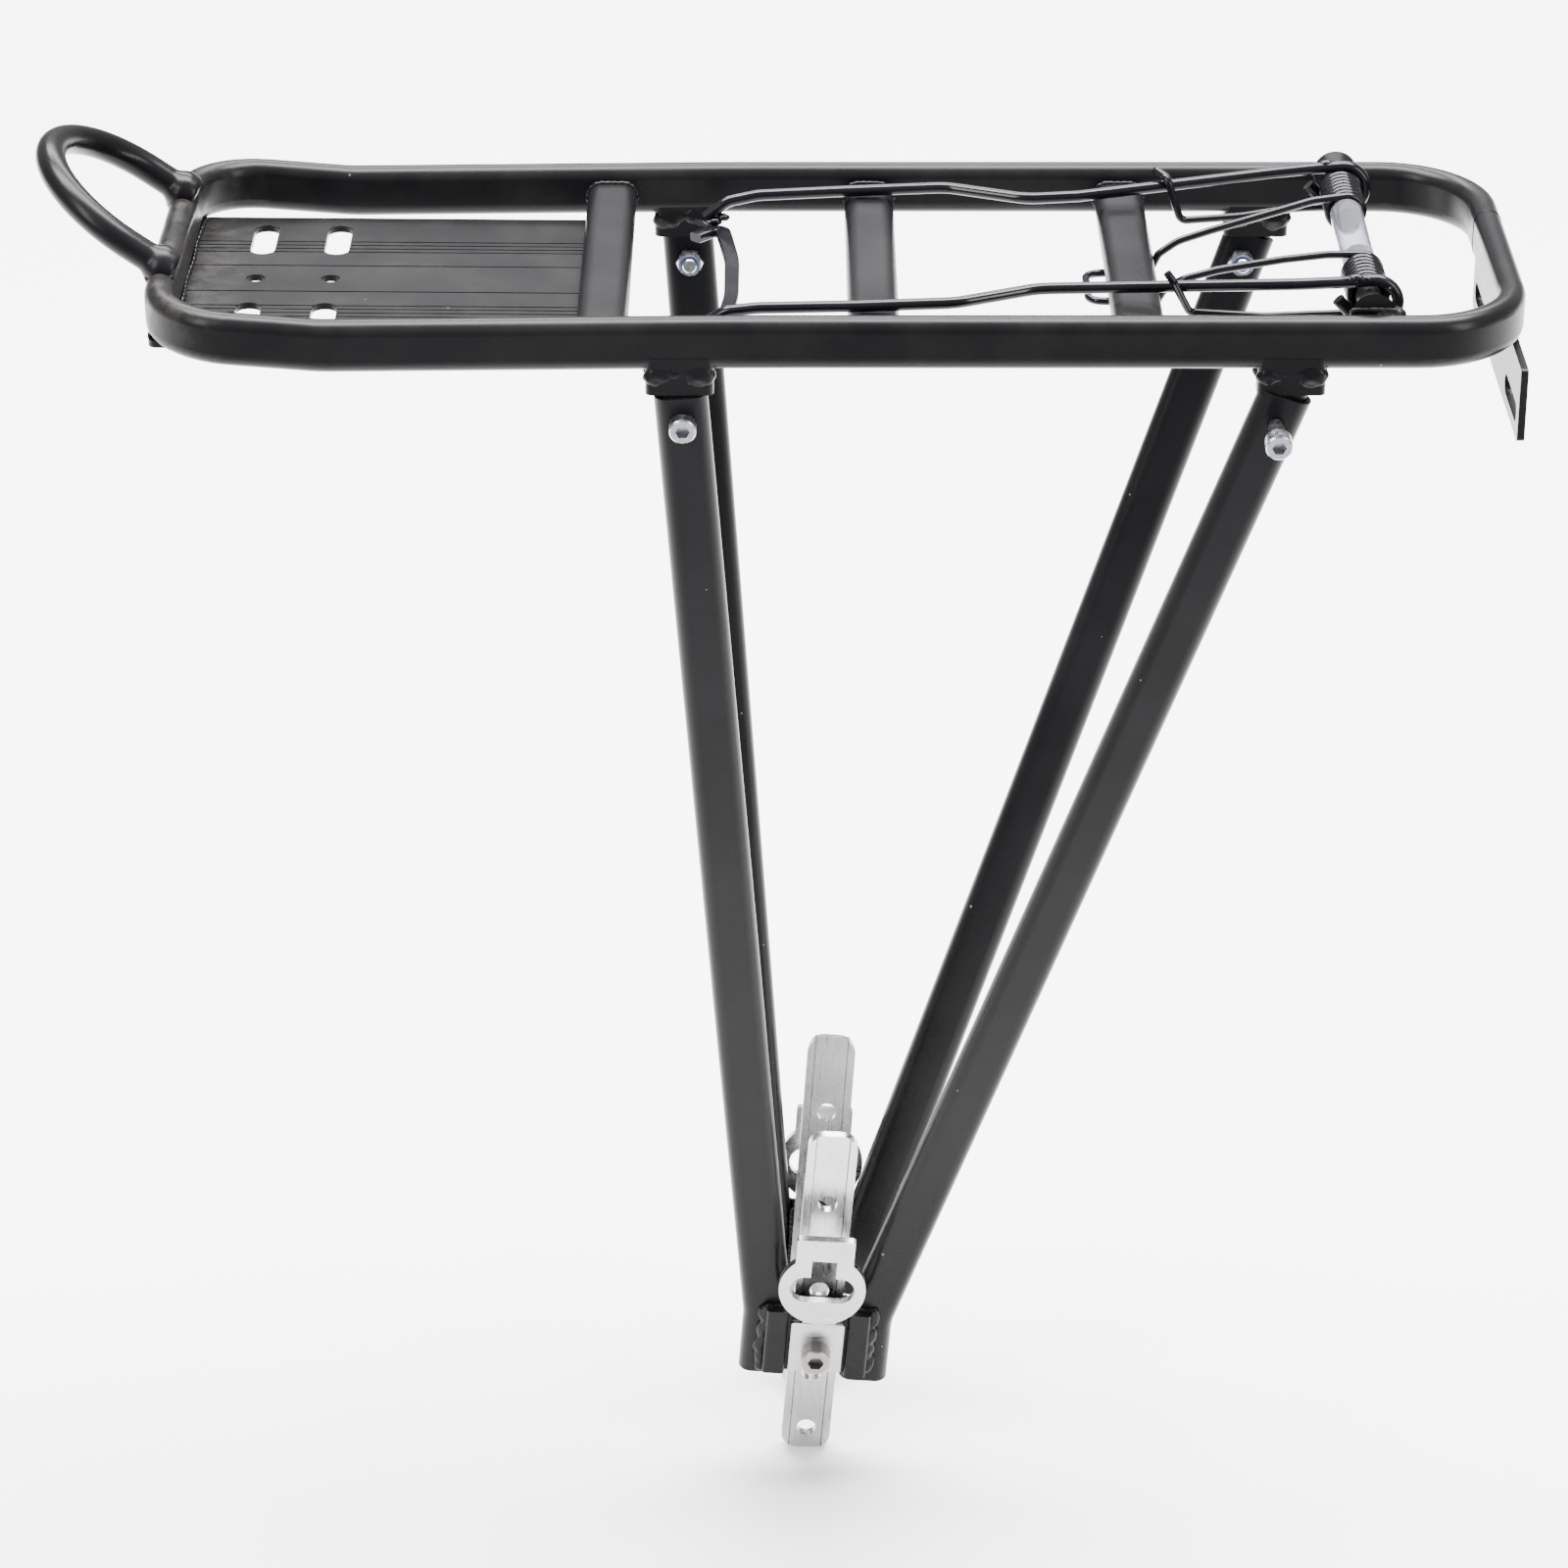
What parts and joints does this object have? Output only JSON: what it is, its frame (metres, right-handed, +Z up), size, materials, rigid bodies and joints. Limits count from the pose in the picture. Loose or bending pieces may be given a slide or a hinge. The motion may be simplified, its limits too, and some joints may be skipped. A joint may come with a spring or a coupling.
{
  "type": "rear rack",
  "caption": "Black tubular bicycle rear rack with a sprung wire luggage clamp, leaning leg frames, drilled foot strips, a rear hoop and a slotted front stay plate",
  "frame": {"origin": "middle of the two slots of the front stay plate, on the plate's front face, on the rack's middle plane", "axes": "+X towards the front of the bicycle, +Y to its left, +Z up"},
  "size_m": [0.4703, 0.1675, 0.4848],
  "materials": {
    "black_paint": "satin powder coat",
    "clamp_wire": "gloss black enamel",
    "spring_wire": "gloss black enamel",
    "raw_aluminium": "raw, brushed",
    "zinc_steel": "bright zinc",
    "screw_steel": "satin steel",
    "clear_sleeve": "clear soft plastic"
  },
  "bodies": {
    "rack": {"deck_frame": "black_paint", "cross_tube_rear": "black_paint", "cross_tube_middle": "black_paint", "cross_tube_front": "black_paint", "rear_plate": "black_paint", "rear_hoop": "black_paint", "front_stay_plate": "black_paint", "leg_rear_right": "black_paint", "leg_rear_left": "black_paint", "leg_front_right": "black_paint", "leg_front_left": "black_paint", "lug_rear_right": "black_paint", "lug_rear_left": "black_paint", "lug_front_right": "black_paint", "lug_front_left": "black_paint", "leg_screws": "zinc_steel", "leg_lock_nuts": "zinc_steel", "foot_bracket_right": "black_paint", "foot_bracket_left": "black_paint", "foot_strip_right": "raw_aluminium", "foot_strip_left": "raw_aluminium", "eyelet_plate_right": "raw_aluminium", "eyelet_plate_left": "raw_aluminium", "foot_screws": "screw_steel", "foot_lock_nuts": "screw_steel", "pivot_stub_right": "black_paint", "pivot_stub_left": "black_paint", "spacer_sleeve": "clear_sleeve", "torsion_spring": "spring_wire"},
    "clamp": {"clamp_arm_right": "clamp_wire", "clamp_arm_left": "clamp_wire", "grip_bar": "clamp_wire", "spring_hook_right": "spring_wire", "spring_hook_left": "spring_wire"}
  },
  "joints": [
    {"name": "clamp_hinge", "type": "hinge", "parent": "rack", "child": "clamp", "pos_m": [-0.05, 0, 0.0374], "axis": [0, 1, 0], "range_deg": [0, 95], "stiffness_Nm_per_rad": 0.8, "springref_deg": -51.57}
  ]
}
